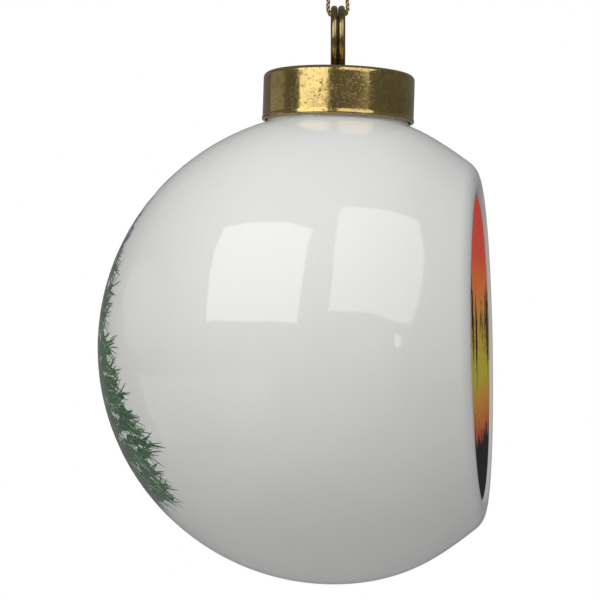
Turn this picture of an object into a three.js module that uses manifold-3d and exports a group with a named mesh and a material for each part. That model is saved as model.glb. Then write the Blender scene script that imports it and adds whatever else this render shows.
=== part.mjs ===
// A hanging ball ornament: a glazed ceramic ball with one flat face that holds a printed disc, a brass
// cap over the ball's neck, a wire hanger whose two sprung legs grip the neck's bore, and a loop of cord.
// Millimetres, +Z up. The origin is the inner top of the cord's loop, where a hook or a twig holds it.
// +X is the side that the picture faces.

import * as THREE from 'three';
import { mergeVertices } from 'three/addons/utils/BufferGeometryUtils.js';
import Module from 'manifold-3d';

// Driving dimensions.
const BALL_RADIUS = 40;
const BALL_SET_BACK = 0.75; // the ball's centre is this far behind the neck's axis
const WALL = 3.2; // the ball's cast wall
const FACE_LEAN = 1.1; // degrees that the face looks up, because the ball hangs heavier at its back
const RIM_ROUND = 4; // outer radius where the rim of the flat face turns into the ball
const RIM_FLAT = 0.55; // width of the rim's crown
const RIM_INNER_ROUND = 0.9;
const RIM_PROUD = 0.5; // the rim stands this far above the picture
const DRAW_IN = 1.1; // how far the casting pulls in beside the rim
const DRAW_IN_SPREAD = 16; // degrees over which it does

const DISC_RADIUS = 25.4; // a 2 inch printed disc
const DISC_THICKNESS = 0.8;
const DISC_CLEARANCE = 0.7; // round the disc in its recess
const DISC_DROP = 0.55; // the disc has slid down this far before its pad took hold
const PAD_RADIUS = 23;
const PAD_THICKNESS = 0.5;

const CAP_RADIUS = 12.9;
const CAP_HEIGHT = 8.1;
const CAP_SHEET = 0.5;
const CAP_TOP_ROUND = 1.3;
const CAP_HEM = 0.35; // how far the rolled bottom edge turns in
const CAP_HOLE_CLEARANCE = 0.35; // round the hanger where it passes through the cap
const NECK_EDGE = 1; // radius of the neck's upper edge

const WIRE = 1.1; // diameter
const RING_RADIUS = 5.3; // to the middle of the wire
const TURN_GAP = 0.15; // between the two turns
const LEG_LEAVES = 50; // degrees up the ring, from its lowest point, where a leg leaves it
const LEG_OUT = 1.9; // from the neck's axis to each leg where it passes through the cap
const LEG_LENGTH = 19; // from the cap's top down
const CROSS_OVER = 0.35; // radians of the ring over which the wire crosses from one turn to the other
const HANGER_TURN = 9.1; // degrees that the hanger is turned round the neck's axis

const CORD = 0.7; // diameter
const LOOP_HEIGHT = 42; // from the middle of the cord under the ring up to the inner top of the loop
const CORD_CLEARANCE = 0.12; // between the cord and the sides of the ring
const HOOK_RADIUS = 1.5; // of whatever the loop hangs on
const KNOT_RADIUS = 1.7;
const KNOT_HEIGHT = 3.2;
const TAIL_LENGTH = 7;

const GAP = 0.3; // between two pieces that touch

// The rim's outer round touches the sphere and stands just outside the rim's crown.
const RECESS_RADIUS = DISC_RADIUS + DISC_CLEARANCE;
const RIM_ROUND_R = RECESS_RADIUS + RIM_INNER_ROUND + RIM_FLAT;
const RIM_ROUND_X = Math.sqrt((BALL_RADIUS - DRAW_IN - RIM_ROUND) ** 2 - RIM_ROUND_R ** 2);

// Distances along the face's axis, from the ball's centre.
const FACE_RIM = RIM_ROUND_X + RIM_ROUND;
const PICTURE_X = FACE_RIM - RIM_PROUD;
const RECESS_FLOOR_X = PICTURE_X - DISC_THICKNESS - GAP - PAD_THICKNESS - GAP;

// Heights, from the ball's centre. The cap's bottom edge rests on the ball where the ball is highest.
const CAP_BOTTOM_Z = Math.sqrt(BALL_RADIUS ** 2 - (CAP_RADIUS - BALL_SET_BACK) ** 2) + GAP;
const CAP_TOP_Z = CAP_BOTTOM_Z + CAP_HEIGHT;
const NECK_TOP_Z = CAP_TOP_Z - CAP_SHEET - GAP;
const RING_CENTRE_Z = CAP_TOP_Z + RING_RADIUS + WIRE / 2;
const CORD_LOW_Z = RING_CENTRE_Z + RING_RADIUS - WIRE / 2 - GAP - CORD / 2;
const HANG_Z = CORD_LOW_Z + LOOP_HEIGHT;
const KNOT_BOTTOM_Z = HANG_Z + CORD + GAP;

const NECK_RADIUS = CAP_RADIUS - CAP_SHEET - GAP;
const NECK_BORE = NECK_RADIUS - WALL;
const RING_PITCH = WIRE + TURN_GAP;

const degrees = THREE.MathUtils.degToRad;
const wasm = await Module();
wasm.setup();

function point(x, y) {
  return new THREE.Vector2(x, y);
}

// A closed mesh as a solid that can be joined and cut, and a solid back as a mesh.
function toSolid(geometry) {
  const bare = geometry.clone();
  bare.deleteAttribute('normal');
  bare.deleteAttribute('uv');
  const merged = mergeVertices(bare, 1e-4);
  const vertProperties = new Float32Array(merged.attributes.position.array);
  const triVerts = new Uint32Array(merged.index.array);
  return new wasm.Manifold(new wasm.Mesh({ numProp: 3, vertProperties, triVerts }));
}

function toGeometry(solid) {
  const mesh = solid.getMesh();
  const geometry = new THREE.BufferGeometry();
  geometry.setAttribute('position', new THREE.BufferAttribute(new Float32Array(mesh.vertProperties), 3));
  geometry.setIndex(new THREE.BufferAttribute(new Uint32Array(mesh.triVerts), 1));
  geometry.computeVertexNormals();
  return geometry;
}

// Points on an arc round (x, y), from one angle to another, in degrees.
function arc(x, y, radius, from, to, steps) {
  const points = [];
  for (let i = 0; i <= steps; i++) {
    const angle = degrees(from + (to - from) * i / steps);
    points.push(point(x + radius * Math.cos(angle), y + radius * Math.sin(angle)));
  }
  return points;
}

// A profile of (radius, height) points turned round the Z axis.
function turnedRoundZ(profile, segments) {
  const geometry = new THREE.LatheGeometry(profile, segments);
  geometry.rotateX(Math.PI / 2);
  return geometry;
}

// A profile of (radius, distance along the face's axis) points turned round the axis of the flat face.
function turnedRoundFace(profile, segments) {
  const geometry = new THREE.LatheGeometry(profile, segments);
  geometry.rotateZ(-Math.PI / 2);
  geometry.rotateY(-degrees(FACE_LEAN));
  geometry.translate(-BALL_SET_BACK, 0, 0);
  return geometry;
}

function roundTube(route, diameter, sides, steps) {
  const section = new THREE.Shape(arc(0, 0, diameter / 2, 0, 360 - 360 / sides, sides - 1));
  return new THREE.ExtrudeGeometry(section, { steps, extrudePath: route, bevelEnabled: false });
}

function piece(name, geometry, color, roughness, metalness) {
  const material = new THREE.MeshStandardMaterial({ color, roughness, metalness });
  const mesh = new THREE.Mesh(geometry, material);
  mesh.name = name;
  return mesh;
}

// The outside of the ball: a sphere, drawn in a little beside the rim, and then the rim's own round.
function outsideProfile() {
  const corner = THREE.MathUtils.radToDeg(Math.atan2(RIM_ROUND_R, RIM_ROUND_X));
  const profile = [point(0, -BALL_RADIUS)];
  const steps = 20;
  for (let i = 1; i < steps; i++) {
    const angle = 180 + (corner - 180) * i / steps;
    const drawn = DRAW_IN * Math.exp(-(((angle - corner) / DRAW_IN_SPREAD) ** 2));
    const radius = BALL_RADIUS - drawn;
    profile.push(point(radius * Math.sin(degrees(angle)), radius * Math.cos(degrees(angle))));
  }
  profile.push(...arc(RIM_ROUND_R, RIM_ROUND_X, RIM_ROUND, 90 - corner, 90, 5));
  const innerR = RECESS_RADIUS + RIM_INNER_ROUND;
  profile.push(...arc(innerR, FACE_RIM - RIM_INNER_ROUND, RIM_INNER_ROUND, 90, 180, 3));
  profile.push(point(RECESS_RADIUS, RECESS_FLOOR_X), point(0, RECESS_FLOOR_X));
  return profile;
}

// The hollow, one wall thickness inside the sphere and behind the recess.
function insideProfile() {
  const radius = BALL_RADIUS - WALL;
  const back = RECESS_FLOOR_X - WALL;
  const roundX = back - RIM_ROUND;
  const roundR = Math.sqrt((radius - DRAW_IN - RIM_ROUND) ** 2 - roundX ** 2);
  const corner = THREE.MathUtils.radToDeg(Math.atan2(roundR, roundX));
  const steps = 11;
  const profile = [point(0, -radius)];
  for (let i = 1; i < steps; i++) {
    const angle = degrees(180 + (corner - 180) * i / steps);
    const reach = radius - DRAW_IN * i / steps;
    profile.push(point(reach * Math.sin(angle), reach * Math.cos(angle)));
  }
  profile.push(...arc(roundR, roundX, RIM_ROUND, 90 - corner, 90, 3), point(0, back));
  return profile;
}

function ballShell() {
  const root = BALL_RADIUS - 2 * WALL;
  const neck = turnedRoundZ([
    point(0, root),
    point(NECK_RADIUS, root),
    ...arc(NECK_RADIUS - NECK_EDGE, NECK_TOP_Z - NECK_EDGE, NECK_EDGE, 0, 90, 3),
    point(0, NECK_TOP_Z),
  ], 40);
  const bore = turnedRoundZ([
    point(0, root - WALL),
    point(NECK_BORE, root - WALL),
    point(NECK_BORE, NECK_TOP_Z + WALL),
    point(0, NECK_TOP_Z + WALL),
  ], 40);
  const outside = toSolid(turnedRoundFace(outsideProfile(), 56));
  const inside = toSolid(turnedRoundFace(insideProfile(), 32));
  const shell = outside.add(toSolid(neck)).subtract(inside).subtract(toSolid(bore));
  return piece('ball_shell', toGeometry(shell), 0xe9eae8, 0.08, 0);
}

// A round plate lying in the recess, with its front at the given distance along the face's axis, and as
// far below that axis as the disc has slid.
function recessPlate(radius, front, thickness) {
  const plate = turnedRoundFace([
    point(0, front - thickness),
    point(radius, front - thickness),
    point(radius, front),
    point(0, front),
  ], 64);
  const lean = degrees(FACE_LEAN);
  plate.translate(DISC_DROP * Math.sin(lean), 0, -DISC_DROP * Math.cos(lean));
  return plate;
}

function pictureDisc() {
  const disc = recessPlate(DISC_RADIUS, PICTURE_X, DISC_THICKNESS);
  return piece('picture_disc', disc, 0xc0562c, 0.25, 0);
}

function adhesivePad() {
  const pad = recessPlate(PAD_RADIUS, RECESS_FLOOR_X + GAP + PAD_THICKNESS, PAD_THICKNESS);
  return piece('adhesive_pad', pad, 0xe8e6dc, 0.8, 0);
}

// A drawn cup of one sheet thickness, with a round hole in its top and its bottom edge rolled in.
function cap() {
  const hole = Math.hypot(RING_PITCH / 2, LEG_OUT) + WIRE / 2 + CAP_HOLE_CLEARANCE;
  const innerRound = CAP_TOP_ROUND - CAP_SHEET;
  const roundR = CAP_RADIUS - CAP_TOP_ROUND;
  const roundZ = CAP_TOP_Z - CAP_TOP_ROUND;
  const profile = [
    point(hole, CAP_TOP_Z - CAP_SHEET),
    ...arc(roundR, roundZ, innerRound, 90, 0, 3),
    point(CAP_RADIUS - CAP_SHEET, CAP_BOTTOM_Z),
    point(CAP_RADIUS - CAP_HEM, CAP_BOTTOM_Z),
    point(CAP_RADIUS, CAP_BOTTOM_Z + CAP_HEM),
    ...arc(roundR, roundZ, CAP_TOP_ROUND, 0, 90, 4),
    point(hole, CAP_TOP_Z),
    point(hole, CAP_TOP_Z - CAP_SHEET),
  ];
  return piece('cap', turnedRoundZ(profile, 56), 0x8a7440, 0.35, 1);
}

// One leg, as (share of the way out to the bore's wall, share of the way up to the cap's hole).
const LEG_SHAPE = [[0.87, 0], [0.97, 0.22], [1, 0.44], [0.85, 0.64], [0.45, 0.79], [0.08, 0.92], [0, 1]];

// One wire. A leg rises through the cap's hole and runs into the ring, the wire winds round beside
// itself and crosses over at the ring's lowest point, and the other leg leaves and goes back down. Below
// the cap both legs spread until they lie along the neck's bore.
function hangerRoute() {
  const legEndZ = CAP_TOP_Z - LEG_LENGTH;
  const holeZ = CAP_TOP_Z - CAP_SHEET / 2;
  const outwards = NECK_BORE - WIRE / 2 - GAP - LEG_OUT;
  const leg = LEG_SHAPE.map(([out, up]) => point(LEG_OUT + outwards * out, legEndZ + (holeZ - legEndZ) * up));
  const ring = [];
  const steps = 30;
  for (let i = 0; i <= steps; i++) {
    const angle = degrees(LEG_LEAVES + (720 - 2 * LEG_LEAVES) * i / steps);
    const aside = RING_PITCH / 2 * Math.tanh((angle - 2 * Math.PI) / CROSS_OVER);
    const z = RING_CENTRE_Z - RING_RADIUS * Math.cos(angle);
    ring.push(new THREE.Vector3(aside, RING_RADIUS * Math.sin(angle), z));
  }
  return new THREE.CatmullRomCurve3([
    ...leg.map((p) => new THREE.Vector3(-RING_PITCH / 2, p.x, p.y)),
    ...ring,
    ...leg.reverse().map((p) => new THREE.Vector3(RING_PITCH / 2, -p.x, p.y)),
  ], false, 'centripetal');
}

function hangerWire() {
  const wire = roundTube(hangerRoute(), WIRE, 8, 100);
  wire.rotateZ(degrees(HANGER_TURN));
  return piece('hanger_wire', wire, 0xa6803a, 0.3, 1);
}

// One side of the loop, as (distance from the middle, height) from under the ring to the knot. The cord
// bends round the two turns of the ring, runs straight up under tension, and closes over the hook.
function loopSide() {
  const beside = (RING_PITCH + WIRE + CORD) / 2 + CORD_CLEARANCE;
  const wireZ = CORD_LOW_Z + CORD / 2 + GAP + WIRE / 2;
  const over = HOOK_RADIUS + CORD / 2;
  return [
    [beside - 0.95, CORD_LOW_Z + 0.03],
    [beside - 0.3, CORD_LOW_Z + 0.42],
    [beside, wireZ],
    [beside, wireZ + 1],
    [beside - 0.1, wireZ + 2.2],
    [1.62, wireZ + 7],
    [1.65, wireZ + 15],
    [1.7, wireZ + 25],
    [over, HANG_Z - HOOK_RADIUS - 3],
    [over, HANG_Z - HOOK_RADIUS],
    [over * Math.SQRT1_2, HANG_Z - HOOK_RADIUS + over * Math.SQRT1_2],
    [CORD * 0.75, HANG_Z + CORD / 2],
  ];
}

function cordLoop() {
  const side = loopSide();
  const points = side.slice().reverse().map(([x, z]) => new THREE.Vector3(-x, 0, z));
  points.push(new THREE.Vector3(0, 0, CORD_LOW_Z));
  points.push(...side.map(([x, z]) => new THREE.Vector3(x, 0, z)));
  const loop = roundTube(new THREE.CatmullRomCurve3(points, false, 'centripetal'), CORD, 8, 64);
  loop.rotateZ(degrees(HANGER_TURN));
  return piece('cord_loop', loop, 0xb4924a, 0.45, 0.4);
}

// The outer shape of an overhand knot tied in both ends of the cord together.
function cordKnot() {
  const profile = arc(0, 0, 1, -90, 90, 8).map((p) => {
    return point(Math.abs(p.x) < 1e-6 ? 0 : KNOT_RADIUS * p.x, KNOT_BOTTOM_Z + KNOT_HEIGHT * (1 + p.y) / 2);
  });
  return piece('cord_knot', turnedRoundZ(profile, 20), 0xb4924a, 0.45, 0.4);
}

// The two ends stick up out of the knot and lean away from each other.
function cordTail(name, side) {
  const start = KNOT_BOTTOM_Z + KNOT_HEIGHT + GAP;
  const middle = CORD / 2 + GAP / 2;
  const route = new THREE.CatmullRomCurve3([
    new THREE.Vector3(side * middle, 0, start),
    new THREE.Vector3(side * (middle + 0.4), side * 0.3, start + TAIL_LENGTH * 0.3),
    new THREE.Vector3(side * (middle + 1.3), side * 0.7, start + TAIL_LENGTH * 0.6),
    new THREE.Vector3(side * (middle + 2.7), side, start + TAIL_LENGTH * 0.85),
  ], false, 'centripetal');
  const tail = roundTube(route, CORD, 8, 8);
  tail.rotateZ(degrees(HANGER_TURN));
  return piece(name, tail, 0xb4924a, 0.45, 0.4);
}

const group = new THREE.Group();
group.add(ballShell(), pictureDisc(), adhesivePad(), cap(), hangerWire());
group.add(cordLoop(), cordKnot(), cordTail('cord_tail_left', -1), cordTail('cord_tail_right', 1));
group.position.z = -HANG_Z;

export default group;
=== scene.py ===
import bmesh
import bpy
import numpy as np
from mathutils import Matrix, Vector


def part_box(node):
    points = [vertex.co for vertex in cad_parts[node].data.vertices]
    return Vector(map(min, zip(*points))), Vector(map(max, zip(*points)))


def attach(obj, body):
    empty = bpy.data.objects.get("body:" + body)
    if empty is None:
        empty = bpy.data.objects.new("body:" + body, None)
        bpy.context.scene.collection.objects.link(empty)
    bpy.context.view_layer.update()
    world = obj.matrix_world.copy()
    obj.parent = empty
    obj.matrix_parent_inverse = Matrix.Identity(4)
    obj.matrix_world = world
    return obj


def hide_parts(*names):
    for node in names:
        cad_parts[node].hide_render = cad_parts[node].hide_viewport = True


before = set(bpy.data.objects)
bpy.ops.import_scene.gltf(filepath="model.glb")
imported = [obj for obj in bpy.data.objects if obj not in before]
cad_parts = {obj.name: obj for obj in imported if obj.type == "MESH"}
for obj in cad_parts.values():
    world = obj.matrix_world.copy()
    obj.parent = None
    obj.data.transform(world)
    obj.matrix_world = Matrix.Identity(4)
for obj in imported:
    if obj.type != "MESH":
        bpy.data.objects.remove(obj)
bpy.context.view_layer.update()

# ---- Camera -----------------------------------------------------------------------------------
# The camera looks at the ball level and from its side, a little towards the picture, so that the
# round back, the cap and a sliver of the picture all show.
MM = 0.001
BALL_RADIUS = 40.0
BALL_SET_BACK = 0.75  # from the neck's axis back to the ball's middle
LOOK_AZIMUTH = np.radians(10.05)  # round from the ball's side towards its picture
LOOK_DISTANCE = 282.0
LOOK_ABOVE = 8.03
LOOK_ASIDE = -5.73
LENS = 99.0
SENSOR = 36.0

ball_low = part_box("ball_shell")[0]
ball_middle = np.array((-BALL_SET_BACK, 0.0, ball_low.z / MM + BALL_RADIUS))
look = np.array((-np.sin(LOOK_AZIMUTH), np.cos(LOOK_AZIMUTH), 0.0))
look_right = np.array((np.cos(LOOK_AZIMUTH), np.sin(LOOK_AZIMUTH), 0.0))
look_up = np.array((0.0, 0.0, 1.0))

camera = bpy.data.objects.new("camera", bpy.data.cameras.new("camera"))
camera.data.lens = LENS
camera.data.sensor_width = SENSOR
camera.data.clip_start = 0.01
camera.location = MM * (ball_middle - LOOK_DISTANCE * look + LOOK_ASIDE * look_right + LOOK_ABOVE * look_up)
camera.rotation_euler = (np.pi / 2, 0, LOOK_AZIMUTH)
bpy.context.scene.collection.objects.link(camera)
bpy.context.scene.camera = camera

# ---- Cord -------------------------------------------------------------------------------------
# One length of gold cord: three foil-wrapped plies twisted together round a brown core. It is threaded
# under the two turns of the ring, and its ends are tied together in one overhand knot above the hook.
CORD = 0.7  # diameter
PLIES = 3
PLY_TURN = 2.3  # length of one turn of the twist
KNOT_RADIUS = 1.28  # to the middle of the cord where it winds round
KNOT_TURNS = 1.5
FOIL_WRAP = 0.21  # length of one wrap of the foil
CORD_SIDES = 24
FINE_STEPS = 60  # cuts in each stretch of a path before it is cut into equal steps
ACROSS_BOTH = (0.3, 1.0, 0.2)  # a direction that neither the cord nor the hanger starts along
HANGER_TURN = np.radians(9.1)  # of the ring, and the cord through it, round the neck's axis


class Level:
    """A shader value that takes part in arithmetic: each operator adds one Math node."""

    def __init__(self, finish, socket):
        self.finish = finish
        self.socket = socket

    def math(self, operation, *others):
        return self.finish.node("Math", {"operation": operation}, dict(enumerate((self, *others))))

    def __add__(self, other):
        return self.math("ADD", other)

    def __sub__(self, other):
        return self.math("SUBTRACT", other)

    def __rsub__(self, other):
        return self.finish.node("Math", {"operation": "SUBTRACT"}, {0: other, 1: self})

    def __mul__(self, other):
        return self.math("MULTIPLY", other)

    def __truediv__(self, other):
        return self.math("DIVIDE", other)

    __radd__ = __add__
    __rmul__ = __mul__


class Finish:
    """A material. Its constants go straight on the shader, and node() adds any other node."""

    def __init__(self, name, **constants):
        self.material = bpy.data.materials.new(name)
        self.material.use_nodes = True
        self.tree = self.material.node_tree
        self.shader = self.tree.nodes["Principled BSDF"]
        for socket, value in constants.items():
            self.set(socket.replace("_", " "), value)

    def feed(self, socket, value):
        if isinstance(value, Level):
            self.tree.links.new(value.socket, socket)
        elif socket.type == "RGBA":
            socket.default_value = (*value, 1.0)
        else:
            socket.default_value = value

    def set(self, socket, value):
        self.feed(self.shader.inputs[socket], value)

    def node(self, kind, settings, values, output=0):
        made = self.tree.nodes.new("ShaderNode" + kind)
        for name, setting in settings.items():
            if name == "stops":
                stops = made.color_ramp.elements
                for place, colour in setting[2:]:
                    stops.new(place)
                for stop, (place, colour) in zip(stops, setting):
                    stop.position = place
                    stop.color = (*colour, 1.0)
            else:
                setattr(made, name, setting)
        for key, value in values.items():
            self.feed(made.inputs[key], value)
        return Level(self, made.outputs[output])

    def place(self, middle=(0.0, 0.0, 0.0), turn=(0.0, 0.0, 0.0)):
        """Object coordinates in millimetres, from a middle point and in axes that are turned with it."""
        where = self.node("TexCoord", {}, {}, 3)
        axes = {"Vector": where, "Location": middle, "Rotation": turn, "Scale": (MM, MM, MM)}
        return self.node("Mapping", {"vector_type": "TEXTURE"}, axes)

    def stretch(self, where, shares):
        return self.node("VectorMath", {"operation": "MULTIPLY"}, {0: where, 1: shares})

    def split(self, where, axis):
        return self.node("SeparateXYZ", {}, {0: where}, axis)

    def noise(self, where, scale, detail=2.0, roughness=0.5):
        values = {"Vector": where, "Scale": scale, "Detail": detail, "Roughness": roughness}
        return self.node("TexNoise", {}, values)

    def rise(self, value, low, high):
        """0 below low and 1 above high, turning smoothly between them."""
        values = {"Value": value, "From Min": low, "From Max": high}
        return self.node("MapRange", {"interpolation_type": "SMOOTHSTEP"}, values)

    def mix(self, share, one, other):
        return self.node("Mix", {"data_type": "RGBA"}, {0: share, 6: one, 7: other}, 2)

    def attribute(self, name, output=2):
        return self.node("Attribute", {"attribute_name": name}, {}, output)

    def bump(self, height, strength, distance):
        values = {"Height": height, "Strength": strength, "Distance": distance * MM}
        self.set("Normal", self.node("Bump", {}, values))


def ring_quads(rings, columns):
    """Faces between neighbouring rings of a grid whose every ring closes on itself."""
    row = np.arange(rings - 1)[:, None] * columns
    here = np.arange(columns)
    after = (here + 1) % columns
    corners = (row + here, row + after, row + columns + after, row + columns + here)
    return np.stack(corners, -1).reshape(-1, 4)


def end_fans(rings, columns):
    """Triangles from the first and the last ring to two tips, which are numbered after the grid."""
    here = np.arange(columns)
    after = (here + 1) % columns
    last = (rings - 1) * columns
    tip = np.full(columns, rings * columns)
    first_fan = np.stack((after, here, tip), -1)
    last_fan = np.stack((last + here, last + after, tip + 1), -1)
    return np.vstack((first_fan, last_fan))


def add_mesh(name, points, faces, finish, **attributes):
    """A smooth mesh with its faces turned outwards, from points in millimetres."""
    mesh = bpy.data.meshes.new(name)
    mesh.from_pydata((points * MM).tolist(), [], faces)
    for label, values in attributes.items():
        kind = "FLOAT" if values.ndim == 1 else "FLOAT_COLOR"
        field = "value" if values.ndim == 1 else "color"
        attribute = mesh.attributes.new(label, kind, "POINT")
        attribute.data.foreach_set(field, values.astype(np.float32).ravel())
    work = bmesh.new()
    work.from_mesh(mesh)
    bmesh.ops.recalc_face_normals(work, faces=work.faces)
    work.to_mesh(mesh)
    work.free()
    mesh.shade_smooth()
    mesh.materials.append(finish.material)
    piece = bpy.data.objects.new(name, mesh)
    bpy.context.scene.collection.objects.link(piece)
    return piece


def add_rings(name, grid, finish, **attributes):
    """A closed skin over a grid of rings, with a fan to a middle point at either end."""
    rings, columns = grid.shape[:2]
    points = np.vstack((grid.reshape(-1, 3), grid[0].mean(0), grid[-1].mean(0)))
    faces = ring_quads(rings, columns).tolist() + end_fans(rings, columns).tolist()
    ended = {k: np.append(v.ravel(), (v[0].mean(), v[-1].mean())) for k, v in attributes.items()}
    return add_mesh(name, points, faces, finish, **ended)


def smooth_path(points, step):
    """A centripetal Catmull-Rom curve through the points, cut into equal steps of about the given length.

    Between two points it is the cubic that leaves and arrives with the slopes of its neighbours, each
    weighed by the square root of the distance between them.
    """
    points = np.asarray(points, float)
    ends = 2 * points[[0, -1]] - points[[1, -2]]
    knots = np.vstack((ends[:1], points, ends[1:]))
    gap = np.sqrt(np.linalg.norm(np.diff(knots, axis=0), axis=1))[:, None]
    before, here, after = gap[:-2], gap[1:-1], gap[2:]
    a, b, c, d = knots[:-3], knots[1:-2], knots[2:-1], knots[3:]
    leave = ((b - a) / before - (c - a) / (before + here) + (c - b) / here) * here
    arrive = ((c - b) / here - (d - b) / (here + after) + (d - c) / after) * here
    t = np.linspace(0, 1, FINE_STEPS, endpoint=False)[:, None, None]
    square = 3 * (c - b) - 2 * leave - arrive
    cube = 2 * (b - c) + leave + arrive
    curve = b + t * leave + t**2 * square + t**3 * cube
    fine = np.vstack((curve.transpose(1, 0, 2).reshape(-1, 3), points[-1:]))
    along = np.append(0, np.cumsum(np.linalg.norm(np.diff(fine, axis=0), axis=1)))
    even = np.linspace(0, along[-1], int(round(along[-1] / step)) + 1)
    return np.stack([np.interp(even, along, fine[:, axis]) for axis in range(3)], -1)


def length_along(path):
    """How far each point is along a path: the running sum of the distances between its points."""
    return np.append(0, np.cumsum(np.linalg.norm(np.diff(path, axis=0), axis=1)))


def tube_rings(path, angle, radius):
    """Rings round a path: path + r (side cos a + rise sin a), with side carried along without spinning."""
    ahead = np.gradient(path, axis=0)
    ahead /= np.linalg.norm(ahead, axis=1)[:, None]
    side = np.empty_like(path)
    carried = np.cross(ahead[0], ACROSS_BOTH)
    for i, direction in enumerate(ahead):
        carried = carried - direction * (carried @ direction)
        carried /= np.linalg.norm(carried)
        side[i] = carried
    rise = np.cross(ahead, side)
    turned = side[:, None] * np.cos(angle)[..., None] + rise[:, None] * np.sin(angle)[..., None]
    return path[:, None] + radius[..., None] * turned


def turned_with_hanger(points):
    """Points in the plane of the cord's loop, turned with the hanger round the neck's axis."""
    x, y, z = np.asarray(points, float).T
    c, s = np.cos(HANGER_TURN), np.sin(HANGER_TURN)
    return np.stack((c * x - s * y, s * x + c * y, z), -1)


def cord_side(side):
    """One strand from under the ring to its cut end: up the loop, over the hook, up the knot's core,
    over its top, down round it in a helix, in at its bottom and up through the core again."""
    up = [(0.695, -41.97), (1.345, -41.58), (1.645, -40.8), (1.645, -39.8), (1.545, -38.6), (1.57, -33.8)]
    up += [(1.62, -25.8), (1.7, -15.8), (1.85, -4.5), (1.85, -1.5), (1.31, -0.19), (0.6, 0.42)]
    loop = [(side * x, 0, z) for x, z in up]
    core = [(0.4 * side, -0.12, 1.0), (0.36 * side, -0.36, 1.8), (0.35 * side, -0.4, 2.7)]
    over = [(0.28 * side, -0.62, 3.5 + 0.3 * side)]
    share = np.linspace(0.03, 0.97, 13)
    turn = -np.pi / 2 + 2 * np.pi * KNOT_TURNS * share
    fall = 3.55 - 2.0 * share + 0.36 * side
    wound = np.stack((KNOT_RADIUS * np.cos(turn), KNOT_RADIUS * np.sin(turn), fall), -1)
    back = [(0.26 * side, 0.62, 1.35 + 0.3 * side), (0.35 * side, 0.4, 2.2), (0.36 * side, 0.36, 3.2)]
    tail = [(0.44 * side, 0.24, 4.2), (0.6 * side, 0.12, 5.1), (side, 0.3 * side, 6.8)]
    tail += [(1.8 * side, 0.7 * side, 8.6), (2.9 * side, side, 9.8 + 0.3 * side)]
    return loop + core + over + wound.tolist() + back + tail


def ply_radius(angle):
    """How far the twisted plies reach from the cord's middle: the outside of equal circles round it."""
    third = 2 * np.pi / PLIES
    from_ply = (angle + third / 2) % third - third / 2
    middle, ply = 0.24 * CORD, 0.26 * CORD
    return middle * np.cos(from_ply) + np.sqrt(ply**2 - (middle * np.sin(from_ply)) ** 2)


cord_foil = Finish("gold_cord", Metallic=1.0)
groove = cord_foil.attribute("groove")
length_on = cord_foil.attribute("length_on")
foil = cord_foil.place()
wraps = ((length_on * (2 * np.pi / FOIL_WRAP)).math("SINE") + 1) * 0.5
worn = cord_foil.rise(cord_foil.noise(foil, 1.7, 3.0), 0.42, 0.7)
bright = cord_foil.mix(worn, (0.50, 0.38, 0.20), (0.32, 0.22, 0.10))
gold = cord_foil.mix(wraps * 0.35, bright, (0.42, 0.25, 0.08))
deep = cord_foil.rise(groove, 0.2, 0.75)
cord_foil.set("Base Color", cord_foil.mix(deep, gold, (0.055, 0.028, 0.012)))
cord_foil.set("Metallic", 1 - deep * 0.8)
cord_foil.set("Roughness", 0.3 + deep * 0.4 + wraps * 0.1)
cord_foil.bump(wraps, 0.5, 0.02)

cord_route = cord_side(-1)[::-1] + [(0, 0, -42)] + cord_side(1)
cord_path = turned_with_hanger(smooth_path(cord_route, step=0.12))
cord_length = length_along(cord_path)
around = np.arange(CORD_SIDES) * 2 * np.pi / CORD_SIDES
ply_angle = around - 2 * np.pi * cord_length[:, None] / PLY_TURN
cord_radius = ply_radius(ply_angle)
cord_groove = (cord_radius.max() - cord_radius) / (cord_radius.max() - cord_radius.min())
cord_rings = tube_rings(cord_path, around * np.ones_like(ply_angle), cord_radius)
length_on_skin = cord_length[:, None] * np.ones(CORD_SIDES)
cord = add_rings("cord", cord_rings, cord_foil, groove=cord_groove, length_on=length_on_skin)
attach(cord, "cord")
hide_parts("cord_loop", "cord_knot", "cord_tail_left", "cord_tail_right")

# ---- Hanger -----------------------------------------------------------------------------------
# One brass wire, bent cold. One leg rises through the cap's hole and winds two turns, which make the
# ring, and the other leg goes back down. Both legs spring out against the bore of the neck.
WIRE = 1.1  # diameter
LACQUER = 0.05  # it thickens the wire a little, and fills what it can of the gap between the turns
RING_RADIUS = 5.3  # to the middle of the wire
RING_PITCH = WIRE + 0.15
CROSS_OVER = 0.35  # radians of the ring over which the wire crosses to its second turn
LEG_LEAVES = np.radians(50)  # how far up the ring a leg leaves it
LEG_OUT = 1.9  # from the neck's axis to each leg at the cap
CAP_SHEET = 0.5
LEG_LENGTH = 19.0
CUT_END = 0.3  # length over which the wire narrows to each cut end
CUT_NARROWS = 0.12
WIRE_SIDES = 20
NECK_BORE = 8.9
GAP = 0.3

cap_low, cap_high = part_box("cap")
cap_bottom = cap_low.z / MM
cap_top = cap_high.z / MM
ring_middle = cap_top + RING_RADIUS + WIRE / 2


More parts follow.
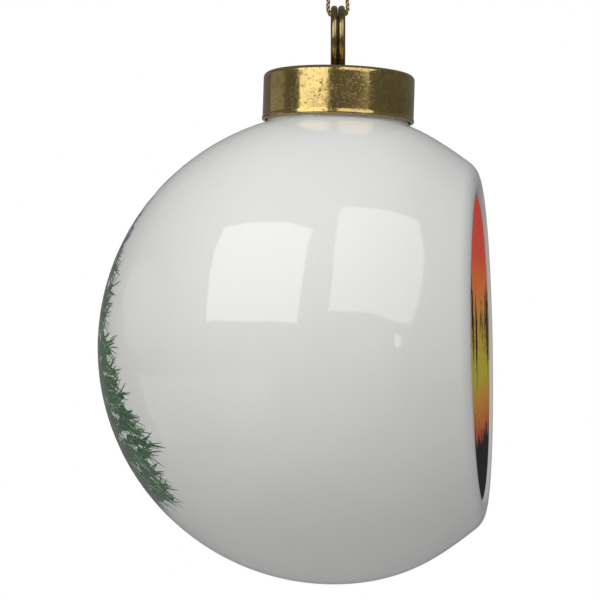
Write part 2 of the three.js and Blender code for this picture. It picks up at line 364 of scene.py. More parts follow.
def hanger_route():
    """Leg, two turns beside each other that cross over at the ring's lowest point, and the other leg."""
    leg_end = cap_top - LEG_LENGTH
    hole = cap_top - CAP_SHEET / 2
    outwards = NECK_BORE - WIRE / 2 - GAP - LEG_OUT
    shape = [(0.87, 0), (0.97, 0.22), (1, 0.44), (0.85, 0.64), (0.45, 0.79), (0.08, 0.92), (0, 1)]
    leg = [(LEG_OUT + outwards * out, leg_end + (hole - leg_end) * up) for out, up in shape]
    turn = np.linspace(LEG_LEAVES, 4 * np.pi - LEG_LEAVES, 61)
    aside = RING_PITCH / 2 * np.tanh((turn - 2 * np.pi) / CROSS_OVER)
    ring = np.stack((aside, RING_RADIUS * np.sin(turn), ring_middle - RING_RADIUS * np.cos(turn)), -1)
    up = [(-RING_PITCH / 2, y, z) for y, z in leg]
    down = [(RING_PITCH / 2, -y, z) for y, z in reversed(leg)]
    return up + ring.tolist() + down


wire_brass = Finish("brass_wire", Metallic=1.0)
on_wire = wire_brass.place()
drawn = wire_brass.noise(wire_brass.stretch(on_wire, (1.0, 1.0, 0.12)), 1.6, 4.0, 0.6)
tarnish = wire_brass.rise(drawn, 0.42, 0.66)
spots = wire_brass.rise(wire_brass.noise(on_wire, 2.6, 4.0, 0.7), 0.57, 0.68)
clean = wire_brass.mix(tarnish, (0.27, 0.21, 0.10), (0.17, 0.115, 0.055))
wire_brass.set("Base Color", wire_brass.mix(spots * 0.8, clean, (0.13, 0.075, 0.035)))
wire_brass.set("Roughness", 0.16 + tarnish * 0.12 + spots * 0.22)
wire_brass.bump(drawn + spots * 0.4, 0.35, 0.03)

hanger_path = turned_with_hanger(smooth_path(hanger_route(), step=0.2))
around = np.arange(WIRE_SIDES) * 2 * np.pi / WIRE_SIDES
from_end = np.minimum(length_along(hanger_path), length_along(hanger_path)[::-1])
wire_radius = WIRE / 2 + LACQUER - CUT_NARROWS * np.clip(1 - from_end / CUT_END, 0, 1) ** 2
wire_angle = around * np.ones((len(hanger_path), 1))
hanger_rings = tube_rings(hanger_path, wire_angle, wire_radius[:, None])
hanger = add_rings("hanger", hanger_rings, wire_brass)
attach(hanger, "hanger")
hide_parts("hanger_wire")

# ---- Cap --------------------------------------------------------------------------------------
# A cup drawn from brass sheet, with a hole for the hanger and its bottom edge turned in. It is plated
# and browned, and handling has rubbed the brown off its edges and left speckles on its side.
CAP_RADIUS = 12.9
CAP_TOP_ROUND = 0.9
CAP_HEM = 0.25
CAP_BEAD = 0.09  # how far the bead over the hem stands out
CAP_BEAD_FROM = 0.36  # above the cap's foot
CAP_BEAD_TO = 0.95
CAP_LIP = 0.12  # the small rounds of the hole and the hem
CAP_HOLE_ROOM = 0.7  # beside the legs, for the crooked cap to turn round them
CAP_HOLE = np.hypot(RING_PITCH / 2, LEG_OUT) + WIRE / 2 + CAP_HOLE_ROOM
CAP_TILT = np.radians(1.7)  # it is pushed on a little crooked, lower towards the picture


def arc(x, y, radius, start, end, count):
    """Points on a round about (x, y), from one angle to another in degrees."""
    angle = np.radians(np.linspace(start, end, count))
    return np.stack((x + radius * np.cos(angle), y + radius * np.sin(angle)), -1)


def turned(profile, columns):
    """A profile of (radius, height) points turned round Z: (r cos a, r sin a, h)."""
    angle = np.arange(columns) * 2 * np.pi / columns
    radius, height = np.asarray(profile, float).T[..., None]
    return np.stack((radius * np.cos(angle), radius * np.sin(angle), height * np.ones(columns)), -1)


def cap_profile():
    """Hole, underside of the top, inner wall, turned-in hem, a low bead over it, outer wall, top round."""
    round_r = CAP_RADIUS - CAP_TOP_ROUND
    round_z = cap_top - CAP_TOP_ROUND
    inner = CAP_RADIUS - CAP_SHEET
    lip = CAP_LIP
    bead = np.linspace(CAP_BEAD_FROM, CAP_BEAD_TO, 12)
    bead_share = (bead - CAP_BEAD_FROM) / (CAP_BEAD_TO - CAP_BEAD_FROM)
    flare = CAP_BEAD * 0.5 * (1 + np.cos(np.pi * bead_share))
    return np.vstack((
        arc(CAP_HOLE + lip, cap_top - CAP_SHEET + lip, lip, 180, 270, 4),
        arc(round_r, round_z, CAP_TOP_ROUND - CAP_SHEET, 90, 0, 10),
        [(inner, z) for z in np.linspace(round_z - 0.5, cap_bottom + 0.4, 8)],
        arc(inner + lip, cap_bottom + lip, lip, 180, 270, 4),
        arc(CAP_RADIUS + CAP_BEAD - CAP_HEM, cap_bottom + CAP_HEM, CAP_HEM, 270, 360, 8),
        np.stack((CAP_RADIUS + flare, cap_bottom + bead), -1),
        [(CAP_RADIUS, z) for z in np.linspace(cap_bottom + 1.1, round_z - 0.2, 20)],
        arc(round_r, round_z, CAP_TOP_ROUND, 0, 90, 14),
        [(r, cap_top) for r in np.linspace(round_r - 0.8, CAP_HOLE + 0.8, 10)],
        arc(CAP_HOLE + lip, cap_top - lip, lip, 90, 180, 4),
        [(CAP_HOLE, cap_top - CAP_SHEET + lip)],
    ))


def cap_grid():
    """The turned profile, pressed in and out by slow waves round the side, as drawn sheet is, and tilted
    round the line that runs from the camera's side to the far side through the middle of its foot."""
    grid = turned(cap_profile(), columns=240)
    angle = np.arctan2(grid[..., 1], grid[..., 0])
    height = (grid[..., 2] - cap_bottom) / (cap_top - cap_bottom)
    wave = 0.018 * np.sin(3 * angle + 1) + 0.010 * np.sin(7 * angle + 4 * height)
    grid[..., :2] *= (1 + wave * height / CAP_RADIUS)[..., None]
    foot = np.array((0.0, 0.0, cap_bottom))
    aside = (grid - foot) @ look_right
    up = grid[..., 2] - cap_bottom
    shift = (np.cos(CAP_TILT) - 1) * aside + np.sin(CAP_TILT) * up
    rise = (np.cos(CAP_TILT) - 1) * up - np.sin(CAP_TILT) * aside
    return grid + shift[..., None] * look_right + rise[..., None] * look_up


cap_brass = Finish("antique_brass", Metallic=1.0)
on_cap = cap_brass.place((0, 0, cap_bottom * MM))
cap_z = cap_brass.split(on_cap, 2)
cloud = cap_brass.noise(on_cap, 0.22, 5.0, 0.6)
blotch = cap_brass.rise(cap_brass.noise(on_cap, 0.9, 6.0, 0.68), 0.52, 0.66)
speckle = cap_brass.rise(cap_brass.noise(on_cap, 2.2, 3.0, 0.65), 0.58, 0.65)
cell = cap_brass.node("TexVoronoi", {"feature": "F1"}, {"Vector": on_cap, "Scale": 1.1})
pit = 1 - cap_brass.rise(cell, 0.07, 0.15)
edge = cap_brass.rise(cap_z, 7.2, 7.9) + (1 - cap_brass.rise(cap_z, 0.25, 0.6))
scratch_wave = cap_brass.noise(cap_brass.stretch(on_cap, (1.0, 1.0, 0.35)), 0.8, 3.0)
scratch = 1 - cap_brass.rise((scratch_wave - 0.55).math("ABSOLUTE"), 0.002, 0.007)
brass = cap_brass.mix(cap_brass.rise(cloud, 0.35, 0.65), (0.41, 0.31, 0.115), (0.33, 0.24, 0.095))
browned = cap_brass.mix(blotch * 0.55, brass, (0.21, 0.135, 0.05))
rubbed = cap_brass.mix(edge.math("MINIMUM", 1.0) * 0.6, browned, (0.50, 0.39, 0.16))
marked = cap_brass.mix((speckle * 0.75 + pit).math("MINIMUM", 1.0) * 0.8, rubbed, (0.11, 0.068, 0.03))
cap_brass.set("Base Color", cap_brass.mix(scratch * 0.4, marked, (0.6, 0.47, 0.2)))
dulled = cap_brass.rise(cloud, 0.4, 0.7)
cap_brass.set("Roughness", 0.10 + blotch * 0.12 + speckle * 0.2 + dulled * 0.06)
relief = cloud * 0.6 - speckle * 0.12 - pit * 0.25 - scratch * 0.1 + blotch * 0.05
cap_brass.bump(relief, 0.4, 0.06)

grid = cap_grid()
cap = add_mesh("cap_cup", grid.reshape(-1, 3), ring_quads(*grid.shape[:2]).tolist(), cap_brass)
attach(cap, "cap")
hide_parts("cap")

# ---- Ball -------------------------------------------------------------------------------------
# Slip-cast white ceramic, hollow, with a neck for the cap and a round recess in its one flat face, all
# under a clear glaze. It hangs heavier at its back, so the flat face looks up by 1.1 degrees.
FACE_LEAN = np.radians(1.1)
NECK_RADIUS = 12.1
WALL = 3.2
RECESS_RADIUS = 26.1
RIM_ROUND = 4.0
RIM_INNER_ROUND = 0.9
RIM_FLAT = 0.55
RIM_PROUD = 0.5  # from the picture to the rim's front
DRAW_IN = 1.1  # how far the sphere is drawn in beside the rim
DRAW_IN_SPREAD = 16.0  # in degrees from the rim
DISC_THICKNESS = 0.8
PAD_THICKNESS = 0.5
NECK_EDGE = 1.0
RECESS_EDGE = 0.3
BORE_EDGE = 0.01
FAN_RADIUS = 1.0  # of the fan that closes a turned solid at its middle

rim_round_r = RECESS_RADIUS + RIM_INNER_ROUND + RIM_FLAT
rim_round_x = np.sqrt((BALL_RADIUS - DRAW_IN - RIM_ROUND) ** 2 - rim_round_r**2)
face_rim = rim_round_x + RIM_ROUND
picture_front = face_rim - RIM_PROUD
recess_floor = picture_front - DISC_THICKNESS - PAD_THICKNESS - 2 * GAP
neck_top = cap_top - CAP_SHEET - GAP
face_axis = np.array((np.cos(FACE_LEAN), 0.0, np.sin(FACE_LEAN)))
face_up = np.array((-np.sin(FACE_LEAN), 0.0, np.cos(FACE_LEAN)))


def facing(grid):
    """A grid made round Z, laid round the axis of the flat face, from the ball's middle."""
    across = np.array((0.0, -1.0, 0.0))
    return ball_middle + grid[..., :1] * face_up + grid[..., 1:2] * across + grid[..., 2:] * face_axis


def ball_outside():
    """A sphere that is drawn in a little beside the rim, the rim's two rounds, and the recess."""
    corner = np.degrees(np.arctan2(rim_round_r, rim_round_x))
    angle = np.linspace(179.5, corner, 110, endpoint=False)
    radius = BALL_RADIUS - DRAW_IN * np.exp(-(((angle - corner) / DRAW_IN_SPREAD) ** 2))
    dome = np.stack((radius * np.sin(np.radians(angle)), radius * np.cos(np.radians(angle))), -1)
    inner = RECESS_RADIUS + RIM_INNER_ROUND
    return np.vstack((
        dome,
        arc(rim_round_r, rim_round_x, RIM_ROUND, 90 - corner, 90, 16),
        arc(inner, face_rim - RIM_INNER_ROUND, RIM_INNER_ROUND, 90, 180, 9),
        [(RECESS_RADIUS, recess_floor + 2 * RECESS_EDGE)],
        arc(RECESS_RADIUS - RECESS_EDGE, recess_floor + RECESS_EDGE, RECESS_EDGE, 0, -90, 4),
        [(r, recess_floor) for r in (20.0, 10.0, FAN_RADIUS)],
    ))


def ball_inside():
    """The hollow, one wall inside the sphere and behind the recess."""
    radius = BALL_RADIUS - WALL
    back = recess_floor - WALL
    round_x = back - RIM_ROUND
    round_r = np.sqrt((radius - DRAW_IN - RIM_ROUND) ** 2 - round_x**2)
    corner = np.degrees(np.arctan2(round_r, round_x))
    angle = np.linspace(179.0, corner, 40, endpoint=False)
    reach = radius - DRAW_IN * np.linspace(0, 1, 40)
    dome = np.stack((reach * np.sin(np.radians(angle)), reach * np.cos(np.radians(angle))), -1)
    turn_in = arc(round_r, round_x, RIM_ROUND, 90 - corner, 90, 6)
    return np.vstack((dome, turn_in, [(10.0, back), (FAN_RADIUS, back)]))


def neck_solid(radius, low, high, rounded):
    """A plug round the neck's axis, from one height to another, with its upper edge rounded."""
    edge = arc(radius - rounded, high - rounded, rounded, 0, 90, 8)
    profile = np.vstack(([(FAN_RADIUS, low), (radius, low)], edge, [(FAN_RADIUS, high)]))
    return turned(profile, columns=160)


def carved(base, cuts):
    """The base joined with and cut by the other solids, as one closed mesh."""
    for operation, tool in cuts:
        modifier = base.modifiers.new(operation, "BOOLEAN")
        modifier.operation = operation
        modifier.solver = "MANIFOLD"
        modifier.object = tool
    evaluated = base.evaluated_get(bpy.context.evaluated_depsgraph_get())
    mesh = bpy.data.meshes.new_from_object(evaluated)
    base.modifiers.clear()
    base.data = mesh
    for _, tool in cuts:
        bpy.data.objects.remove(tool)
    mesh.shade_smooth()
    mesh.set_sharp_from_angle(angle=np.radians(32))
    return base


def glaze_over(finish, where):
    """The clear glaze: slow ripples from firing and a few pinholes, over whatever it covers."""
    ripple = finish.noise(where, 0.085, 2.0)
    orange = finish.noise(where, 0.9, 2.0)
    cell = finish.node("TexVoronoi", {"feature": "F1"}, {"Vector": where, "Scale": 0.075})
    pinhole = 1 - finish.rise(cell, 0.004, 0.012)
    finish.set("Roughness", 0.035 + finish.rise(orange, 0.3, 0.8) * 0.02 + pinhole * 0.3)
    finish.bump(ripple + orange * 0.01 - pinhole * 0.12, 0.5, 0.35)
    return pinhole


ceramic = Finish("glazed_ceramic", IOR=1.55)
on_ball = ceramic.place(tuple(ball_middle * MM))
pinhole = glaze_over(ceramic, on_ball)
body_tone = ceramic.rise(ceramic.noise(on_ball, 0.05, 3.0), 0.3, 0.7)
white = ceramic.mix(body_tone, (0.775, 0.782, 0.765), (0.755, 0.765, 0.745))
speck = ceramic.rise(ceramic.noise(on_ball, 1.3, 1.0), 0.80, 0.84)
flaws = (pinhole * 0.5 + speck * 0.3).math("MINIMUM", 1.0)
ceramic.set("Base Color", ceramic.mix(flaws, white, (0.42, 0.4, 0.36)))

root = ball_middle[2] + BALL_RADIUS - 2 * WALL
ball = add_rings("ball", facing(turned(ball_outside(), columns=256)), ceramic)
neck = add_rings("neck", neck_solid(NECK_RADIUS, root, neck_top, NECK_EDGE), ceramic)
hollow = add_rings("hollow", facing(turned(ball_inside(), columns=96)), ceramic)
bore = add_rings("bore", neck_solid(NECK_BORE, root - WALL, neck_top + WALL, BORE_EDGE), ceramic)
carved(ball, [("UNION", neck), ("DIFFERENCE", hollow), ("DIFFERENCE", bore)])
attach(ball, "ball")
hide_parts("ball_shell")

# ---- Printed tree -----------------------------------------------------------------------------
# A decorated fir tree, printed as a transfer round the dome and fired under the glaze. It is drawn with
# brush strokes: dark masses, sprays of needles over them, then beads, baubles and a star.
PRINT_FOOT = -0.03  # the strokes reach this far into the glaze
ROW_STEP = 2.7  # between two rows of sprays
SPRAY_STEP = 2.9  # between two sprays of a row
NEEDLES = 14  # in a spray
NEEDLE_SPREAD = np.radians(46)  # from the middle of a spray to its outermost needle
BAUBLE_RADIUS = 1.75
BEAD_RADIUS = 0.42
BEAD_STEP = 1.5
STAR_HEIGHT = 43.0
STAR_RAY = 4.2
draw = np.random.default_rng(11)
outline_height = (-31, -28, -24, -18, -13, -8, -3, 1, 5, 9, 16, 22, 28, 36, 43)
outline_half = (22.5, 27.5, 29.5, 31.2, 30.9, 27.5, 25, 24, 19.5, 21.5, 17, 15.5, 12, 6, 0)


def on_dome(flat, lift):
    """Wraps (u, v) on the dome: the point at that distance and bearing from its pole, which looks
    backwards, with u towards -Y and v up, and lifted above the ball's surface."""
    far = np.hypot(flat[..., 0], flat[..., 1])
    bearing = flat / np.maximum(far, 1e-9)[..., None]
    angle = far / BALL_RADIUS
    out = np.stack((-np.cos(angle), -bearing[..., 0] * np.sin(angle), bearing[..., 1] * np.sin(angle)), -1)
    return ball_middle + out * (BALL_RADIUS + lift)[..., None]


def strokes(start, heading, length, width, bend, lift, paint, stations, across, blunt=0.0):
    """Closed flat strokes. The middle of each is start + t length (cos h, sin h) + t^2 bend to its left,
    and its half width is width t^0.4 (1 - t)^0.8, or round like a coin where it is blunt."""
    t = np.linspace(0, 1, stations + 2)[1:-1]
    ahead = np.stack((np.cos(heading), np.sin(heading)), -1)
    left = np.stack((-ahead[:, 1], ahead[:, 0]), -1)
    reach = np.concatenate(([0], t, [1]))
    middle = start[:, None] + (length[:, None] * reach)[..., None] * ahead[:, None]
    middle = middle + (bend[:, None] * reach**2)[..., None] * left[:, None]
    taper = (1 - blunt) * 1.35 * t**0.4 * (1 - t) ** 0.8 + blunt * 2 * np.sqrt(t * (1 - t))
    half = width[:, None] * taper
    share = np.concatenate((np.linspace(-1, 1, across), np.linspace(1, -1, across)[1:-1]))
    top = np.arange(len(share)) < across
    flat = middle[:, 1:-1, None] + (half[..., None] * share)[..., None] * left[:, None, None]
    height = np.where(top, lift[:, None], PRINT_FOOT)[:, None, :] * np.ones((1, stations, 1))
    grid = on_dome(flat, height).reshape(len(start), -1, 3)
    tips = on_dome(middle[:, [0, -1]], 0.3 * lift[:, None] * np.ones(2))
    points = np.concatenate((grid, tips), 1)
    offset = np.arange(len(start))[:, None, None] * points.shape[1]
    quads = (offset + ring_quads(stations, len(share))).reshape(-1, 4)
    fans = (offset + end_fans(stations, len(share))).reshape(-1, 3)
    colours = np.broadcast_to(paint[:, None], (*points.shape[:2], 3)).reshape(-1, 3)
    return points.reshape(-1, 3), quads, fans, colours


def half_width(height):
    """Half the tree's width at a height, on straight lines between the outline's points."""
    return np.interp(height, outline_height, outline_half)


def tint(dark, light, share):
    """One colour for each share: dark at 0, light at 1, and evenly between them."""
    return np.asarray(dark) + (np.asarray(light) - np.asarray(dark)) * np.asarray(share)[:, None]


def tree_sprays():
    """Where each spray of needles hangs: rows from the foot of the tree to its top, and along each row
    from side to side, pointing down in the middle and out, a little up, at the ends."""
    rows = np.arange(-28.0, 41.0, ROW_STEP)
    places = []
    for level, height in enumerate(rows):
        half = half_width(height)
        count = max(2, int(2 * half / SPRAY_STEP))
        side = np.linspace(-1, 1, count) + draw.normal(0, 0.25 / count, count)
        u = side * (half - 3.5)
        v = height + 2.5 - 1.5 * np.abs(side) + draw.normal(0, 0.7, count)
        tilt = -90 + 78 * side + draw.normal(0, 12, count)
        raised = np.full(count, level / len(rows))
        places.append(np.stack((u, v, np.radians(tilt), raised, np.abs(side)), -1))
    return np.vstack(places)


def painted_tree():
    """The dark masses and the needles of the tree, as a list of (points, quads, triangles, colours)."""
    u, v, tilt, level, side = tree_sprays().T
    count = len(u)
    start = np.stack((u - 1.2 * np.cos(tilt), v - 1.2 * np.sin(tilt)), -1)
    mass = tint((0.010, 0.036, 0.020), (0.022, 0.075, 0.032), draw.random(count))
    length = draw.uniform(4.6, 6.4, count)
    width = (1 - 0.5 * side**2) * draw.uniform(2.5, 3.4, count)
    bend = draw.normal(0, 0.5, count)
    masses = strokes(start, tilt, length, width, bend, 0.006 + 0.006 * level, mass, 5, 5)

    fan = np.linspace(-1, 1, NEEDLES)
    spread = NEEDLE_SPREAD * fan + draw.normal(0, 0.12, (count, NEEDLES))
    heading = (tilt[:, None] + spread).ravel()
    along = draw.uniform(-0.5, 3.4, (count, NEEDLES)) * (1 - 0.5 * np.abs(fan))
    root_u = u[:, None] + along * np.cos(tilt)[:, None]
    root_v = v[:, None] + along * np.sin(tilt)[:, None]
    start = np.stack((root_u, root_v), -1).reshape(-1, 2)
    total = count * NEEDLES
    length = draw.uniform(2.0, 4.2, total) * (1 + 0.35 * np.repeat(side, NEEDLES))
    kind = draw.random(total)
    green = tint((0.020, 0.085, 0.028), (0.050, 0.190, 0.050), kind)
    green = np.where((kind > 0.93)[:, None], (0.30, 0.42, 0.27), green)
    green = np.where((kind < 0.22)[:, None], (0.012, 0.045, 0.026), green)
    width = draw.uniform(0.13, 0.26, total)
    bend = draw.normal(0, 0.35, total)
    lift = 0.013 + 0.010 * np.repeat(level, NEEDLES) + 0.004 * draw.random(total)
    return [masses, strokes(start, heading, length, width, bend, lift, green, 3, 3)]


def round_marks(middle, radius, lift, paint):
    """Flat round marks: each is a blunt stroke as long as it is wide."""
    count = len(middle)
    start = np.asarray(middle, float) - np.stack((radius, np.zeros(count)), -1)
    still = np.zeros(count)
    return strokes(start, still, 2 * radius, radius, still, np.full(count, lift), paint, 11, 7, blunt=1.0)


def painted_trimmings():
    """Baubles with a light and a shine on each, strings of beads in shallow curves, and a star."""
    baubles = np.array([
        (16.2, 20.2), (-12.5, 19.5), (3.5, 24.0), (-5.0, 12.0), (9.0, 8.0), (-17.5, 7.0), (14.2, 4.2),
        (-24.0, -4.5), (-9.5, -1.0), (2.0, 1.0), (12.5, -6.5), (8.5, -13.5), (-15.5, -13.0),
        (-3.5, -14.5), (-29.0, -17.0), (13.0, -20.0), (4.0, -20.5), (-21.0, -24.0), (8.0, -26.5),
        (-7.5, -26.0), (-2.0, 33.0),
    ])
    colours = np.array([(0.10, 0.05, 0.16), (0.42, 0.02, 0.02), (0.50, 0.27, 0.04), (0.03, 0.08, 0.30)])
    pick = colours[np.arange(len(baubles)) % 4]
    pick[6] = colours[1]
    size = np.full(len(baubles), BAUBLE_RADIUS)
    layers = [
        round_marks(baubles, size, 0.030, pick),
        round_marks(baubles + (-0.35, 0.35), 0.62 * size, 0.033, pick * 1.6 + 0.03),
        round_marks(baubles + (-0.55, 0.6), 0.2 * size, 0.036, np.full_like(pick, 0.75)),
    ]
    beads = []
    for height, sag in ((29, 2.5), (16, 3.5), (3, 4.5), (-10, 5.0), (-21, 4.0)):
        half = half_width(height) - 3.0
        across = np.arange(-half, min(half, 15.0), BEAD_STEP)
        beads.append(np.stack((across, height - sag + 1.5 * sag * (across / half) ** 2), -1))
    beads = np.vstack(beads)
    gold = tint((0.42, 0.25, 0.05), (0.75, 0.55, 0.20), draw.random(len(beads)))
    layers.append(round_marks(beads, np.full(len(beads), BEAD_RADIUS), 0.029, gold))
    middle = np.zeros((5, 2)) + (0, STAR_HEIGHT)
    ray = np.radians(90 + 72 * np.arange(5))
    point = np.full(5, STAR_RAY)
    lift = np.full(5, 0.034)
    gold = tint((0.55, 0.36, 0.06), (0.75, 0.52, 0.12), np.linspace(0, 1, 5))
    layers.append(strokes(middle, ray, point, 0.27 * point, np.zeros(5), lift, gold, 5, 5))
    return layers


transfer = Finish("printed_transfer", IOR=1.55)
on_print = transfer.place(tuple(ball_middle * MM))
glaze_over(transfer, on_print)
ink = transfer.attribute("paint", 0)
grainy = transfer.rise(transfer.noise(on_print, 3.0, 3.0), 0.35, 0.75)
transfer.set("Base Color", transfer.mix(grainy * 0.28, ink, (0.16, 0.24, 0.15)))

layers = painted_tree() + painted_trimmings()
points = np.vstack([layer[0] for layer in layers])
faces = []
first = 0
for layer_points, quads, fans, _ in layers:
    faces += (quads + first).tolist() + (fans + first).tolist()
    first += len(layer_points)
paint = np.vstack([layer[3] for layer in layers])
paint = np.hstack((paint, np.ones((len(paint), 1))))
tree = add_mesh("printed_tree", points, faces, transfer, paint=paint)
outwards = points - ball_middle
tree.data.normals_split_custom_set_from_vertices(outwards / np.linalg.norm(outwards, axis=1)[:, None])
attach(tree, "ball")

# ---- Pad --------------------------------------------------------------------------------------
# A die-cut ring of double-sided foam tape. It is hidden behind the disc, which it holds in the ball's
# recess, and only its cut edge could be seen, so its own solid stays and gets the foam's finish.
foam = Finish("foam_tape", Specular_IOR_Level=0.3)
on_foam = foam.place()
pore = foam.node("TexVoronoi", {"feature": "F1"}, {"Vector": on_foam, "Scale": 3.5})
foam.set("Base Color", foam.mix(foam.rise(pore, 0.1, 0.5), (0.62, 0.60, 0.54), (0.80, 0.79, 0.73)))
foam.set("Roughness", 0.75 + foam.noise(on_foam, 2.0) * 0.2)
foam.bump(pore, 0.5, 0.08)
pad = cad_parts["adhesive_pad"]
pad.data.materials.clear()
pad.data.materials.append(foam.material)

# ---- Picture disc -----------------------------------------------------------------------------
# A thin metal disc with a dye print: a red and orange sunset, ragged black trees on the far shore, and
# the same colours streaked in the water down to a black near shore. It is satin, not glossy.
DISC_RADIUS = 25.4
DISC_DROP = 0.55  # it slid down this far before its pad took hold
EDGE_ROUND = 0.15


def disc_profile():
    """Back, rounded edge and front, as (radius, distance along the face's axis)."""
    back = picture_front - DISC_THICKNESS
    rim = DISC_RADIUS - EDGE_ROUND
    return np.vstack((
        [(r, back) for r in (FAN_RADIUS, 12.0, rim - 0.5)],
        arc(rim, back + EDGE_ROUND, EDGE_ROUND, -90, 0, 4),
        arc(rim, picture_front - EDGE_ROUND, EDGE_ROUND, 0, 90, 4),
        [(r, picture_front) for r in (rim - 0.5, 20.0, 12.0, 6.0, FAN_RADIUS)],
    ))


sunset = Finish("sunset_print", Specular_IOR_Level=0.05)
on_face = sunset.place(tuple(ball_middle * MM), (0.0, -FACE_LEAN, 0.0))
height = sunset.split(on_face, 2)
glow = sunset.noise(sunset.stretch(on_face, (1.0, 0.5, 0.16)), 0.35, 3.0)
wavy = (height + (glow - 0.5) * 4.0 + DISC_RADIUS) / (2 * DISC_RADIUS)
sky = sunset.node("ValToRGB", {"stops": [
    (0.0, (0.30, 0.03, 0.015)), (0.17, (0.50, 0.06, 0.02)), (0.23, (0.70, 0.16, 0.02)),
    (0.32, (0.74, 0.34, 0.03)), (0.40, (0.62, 0.58, 0.02)), (0.50, (0.72, 0.50, 0.03)),
    (0.60, (0.92, 0.38, 0.02)), (0.71, (1.0, 0.22, 0.02)), (0.80, (1.0, 0.09, 0.035)),
    (1.0, (1.0, 0.055, 0.035)),
]}, {"Fac": wavy})
dark_shares = (
    (0.0, 1.0), (0.13, 1.0), (0.175, 0.62), (0.23, 0.47), (0.32, 0.41), (0.38, 0.43), (0.44, 0.49),
    (0.50, 0.54), (0.57, 0.57), (0.66, 0.51), (0.74, 0.44), (0.81, 0.37), (0.85, 0.0),
)  # (height on the picture, how much of it is black)
dark_stops = [(place, (share, share, share)) for place, share in dark_shares]
upright = (height + DISC_RADIUS) / (2 * DISC_RADIUS)
thick = sunset.node("ValToRGB", {"stops": dark_stops}, {"Fac": upright})
trunk = sunset.noise(sunset.stretch(on_face, (1.0, 1.0, 0.12)), 0.34, 3.0, 0.6)
leaf = sunset.noise(sunset.stretch(on_face, (1.0, 1.0, 0.6)), 1.0, 4.0, 0.7)
ragged = trunk * 0.66 + leaf * 0.34
black = 1 - sunset.rise(ragged - thick * 0.92, -0.02, 0.02)
sunset.set("Base Color", sunset.mix(black, sky, (0.006, 0.006, 0.006)))
sunset.set("Roughness", 0.42 + black * 0.1 + leaf * 0.06)
sunset.bump(leaf, 0.08, 0.02)

disc_grid = facing(turned(disc_profile(), columns=192)) - DISC_DROP * face_up
disc = add_rings("picture", disc_grid, sunset)
disc.data.set_sharp_from_angle(angle=np.radians(50))
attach(disc, "ball")
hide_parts("picture_disc")

# ---- Studio -----------------------------------------------------------------------------------
# Two soft boxes stand above and either side of the camera, with a dim oval card to the far left, a dim
# card low down and two small bars. The room is dim, but the camera sees white behind the ornament and a
# pale floor below it.
FLOOR_DROP = 250.0  # below the ball
FLOOR_RADIUS = 1200.0
FLOOR_SIDES = 96
NEAR = 400  # from the ball's middle to a panel
FAR = 620


def towards(azimuth, elevation):
    """A direction: degrees to the right of the way back to the camera, and degrees up."""
    a, e = np.radians((azimuth, elevation))
    return np.cos(e) * (np.sin(a) * look_right - np.cos(a) * look) + np.sin(e) * look_up


def soft_box(name, distance, corners, strength):
    """A glowing panel between some directions as seen from the ball, all at one distance from it."""
    glow = bpy.data.materials.new(name)
    glow.use_nodes = True
    glow.node_tree.nodes.clear()
    light = glow.node_tree.nodes.new("ShaderNodeEmission")
    light.inputs["Color"].default_value = (1.0, 1.0, 1.0, 1.0)
    light.inputs["Strength"].default_value = strength
    output = glow.node_tree.nodes.new("ShaderNodeOutputMaterial")
    glow.node_tree.links.new(light.outputs[0], output.inputs["Surface"])
    points = np.array([ball_middle + distance * towards(*corner) for corner in corners])
    mesh = bpy.data.meshes.new(name)
    mesh.from_pydata((points * MM).tolist(), [], [tuple(range(len(corners)))])
    mesh.materials.append(glow)
    panel = bpy.data.objects.new(name, mesh)
    panel.visible_camera = False
    bpy.context.scene.collection.objects.link(panel)


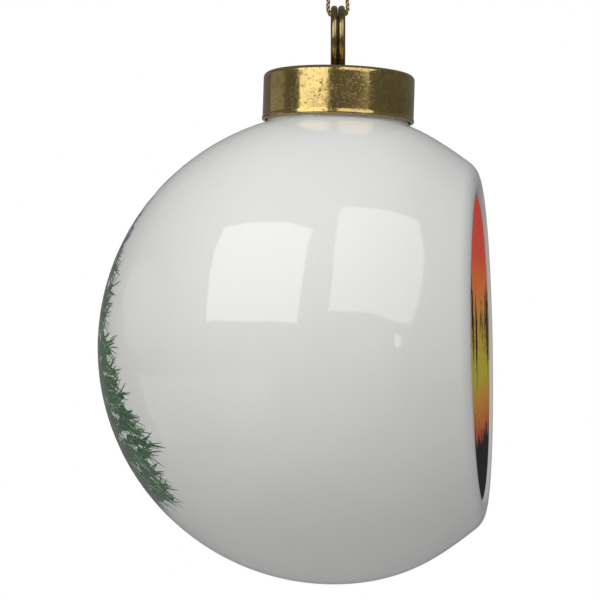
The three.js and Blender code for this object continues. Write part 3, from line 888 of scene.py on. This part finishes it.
OVAL = [(-122, 21), (-100, 22), (-90, 14), (-91, 2), (-101, -3), (-114, 1), (-124, 9), (-128, 15)]
soft_box("soft_box_left", NEAR, [(-75, 47), (-16, 55), (-16.5, 11.5), (-60, 11)], 2.75)
soft_box("soft_box_right", FAR, [(10, 67.5), (74, 48), (44, 10.5), (-2, 18)], 2.2)
soft_box("side_card", FAR, OVAL, 0.5)
soft_box("low_card", FAR, [(-104, -8), (-30, -8), (-30, -48), (-104, -48)], 0.68)
soft_box("small_bar_left", FAR, [(21.8, 3.6), (23, 3.6), (23, 1.2), (21.8, 1.2)], 3.0)
soft_box("small_bar_right", FAR, [(34.5, 6.5), (38, 6.5), (38, 1.2), (34.5, 1.2)], 2.5)

world = bpy.data.worlds.new("studio")
world.use_nodes = True
air = world.node_tree
air.nodes.clear()
seen = air.nodes.new("ShaderNodeLightPath")
room = air.nodes.new("ShaderNodeBackground")
room.inputs["Color"].default_value = (0.22, 0.22, 0.222, 1.0)
paper = air.nodes.new("ShaderNodeBackground")
paper.inputs["Color"].default_value = (1.0, 1.0, 1.0, 1.0)
choice = air.nodes.new("ShaderNodeMixShader")
out = air.nodes.new("ShaderNodeOutputWorld")
air.links.new(seen.outputs["Is Camera Ray"], choice.inputs[0])
air.links.new(room.outputs[0], choice.inputs[1])
air.links.new(paper.outputs[0], choice.inputs[2])
air.links.new(choice.outputs[0], out.inputs["Surface"])
bpy.context.scene.world = world

pale = (0.93, 0.93, 0.925)
floor_finish = Finish("pale_floor", Base_Color=pale, Roughness=0.8, Emission_Strength=1.0)
looked_at = floor_finish.node("LightPath", {}, {})
floor_finish.set("Emission Color", floor_finish.mix(looked_at, (0.0, 0.0, 0.0), (0.46, 0.46, 0.46)))
floor_angle = np.arange(FLOOR_SIDES) * 2 * np.pi / FLOOR_SIDES
floor_unit = np.stack((np.cos(floor_angle), np.sin(floor_angle), np.zeros(FLOOR_SIDES)), -1)
floor_middle = ball_middle - (0, 0, BALL_RADIUS + FLOOR_DROP)
floor_mesh = bpy.data.meshes.new("floor")
floor_points = (floor_middle + floor_unit * FLOOR_RADIUS) * MM
floor_mesh.from_pydata(floor_points.tolist(), [], [tuple(range(FLOOR_SIDES))])
floor_mesh.materials.append(floor_finish.material)
floor = bpy.data.objects.new("floor", floor_mesh)
bpy.context.scene.collection.objects.link(floor)
bpy.context.scene.view_settings.view_transform = "Standard"
